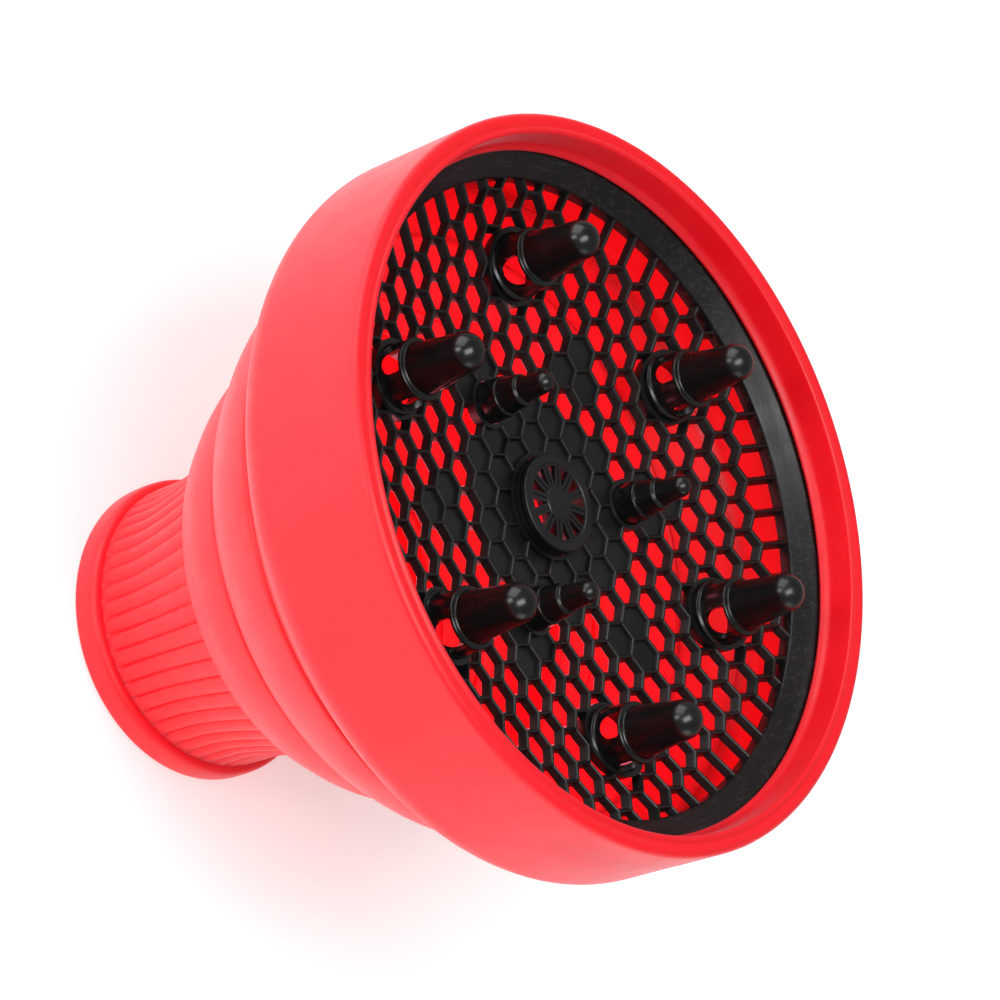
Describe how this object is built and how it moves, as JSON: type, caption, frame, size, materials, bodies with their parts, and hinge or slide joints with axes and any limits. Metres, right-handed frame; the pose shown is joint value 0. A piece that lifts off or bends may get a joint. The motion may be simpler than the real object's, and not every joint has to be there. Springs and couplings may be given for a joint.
{
  "type": "dryer diffuser",
  "caption": "Collapsible hair-dryer diffuser: a flexible bellows with a fluted collar, and a dished honeycomb grille with fingers in its round mouth.",
  "frame": {"origin": "centre of the collar flange's flat end face, on which the diffuser stands", "axes": "+Z along the axis towards the mouth; +X through one large finger"},
  "size_m": [0.1502, 0.1502, 0.1304],
  "materials": {
    "silicone": "soft satin silicone",
    "gloss_black": "glossy moulded plastic",
    "satin_black": "satin moulded plastic"
  },
  "bodies": {
    "collar": {"neck_collar": "silicone", "neck_flange": "silicone", "lower_web": "silicone"},
    "lower_band": {"lower_fold": "silicone", "middle_web": "silicone"},
    "upper_band": {"upper_fold": "silicone", "upper_web": "silicone"},
    "bowl": {"rim_lip": "silicone", "bowl_shell": "silicone", "grille_ring": "satin_black", "honeycomb_grille": "gloss_black", "large_finger_1": "gloss_black", "large_finger_2": "gloss_black", "large_finger_3": "gloss_black", "large_finger_4": "gloss_black", "large_finger_5": "gloss_black", "large_finger_6": "gloss_black", "small_finger_1": "gloss_black", "small_finger_2": "gloss_black", "small_finger_3": "gloss_black", "hub_boss": "gloss_black", "hub_vent_cap": "satin_black"}
  },
  "joints": [
    {"name": "lower_fold_slide", "type": "slide", "parent": "collar", "child": "lower_band", "axis": [0, 0, 1], "range_m": [-0.014, 0], "deforming": ["lower_web"]},
    {"name": "upper_fold_slide", "type": "slide", "parent": "lower_band", "child": "upper_band", "axis": [0, 0, 1], "range_m": [-0.014, 0], "deforming": ["middle_web"]},
    {"name": "bowl_slide", "type": "slide", "parent": "upper_band", "child": "bowl", "axis": [0, 0, 1], "range_m": [-0.021, 0], "deforming": ["upper_web"]}
  ]
}
